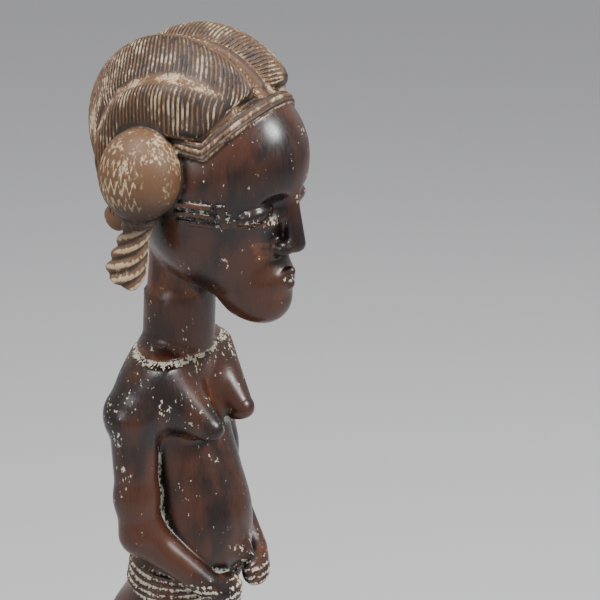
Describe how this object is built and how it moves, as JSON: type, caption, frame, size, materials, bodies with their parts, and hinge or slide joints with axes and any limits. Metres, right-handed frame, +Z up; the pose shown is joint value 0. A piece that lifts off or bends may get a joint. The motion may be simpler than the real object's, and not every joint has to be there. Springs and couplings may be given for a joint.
{
  "type": "spirit spouse figure",
  "caption": "Standing carved wooden female figure with crested hair, ear buns, twisted braids and hands held to the belly, in one piece with its low round base.",
  "frame": {"origin": "centre of the base's underside", "axes": "+Z up from the base to the crown, -Y the way the figure faces, +X its left side"},
  "size_m": [0.1122, 0.1111, 0.425],
  "materials": {
    "carved_wood": "dark hand-polished hardwood with a worn patina and pale clay in its creases"
  },
  "bodies": {
    "root": {"figure": "carved_wood"}
  },
  "joints": []
}
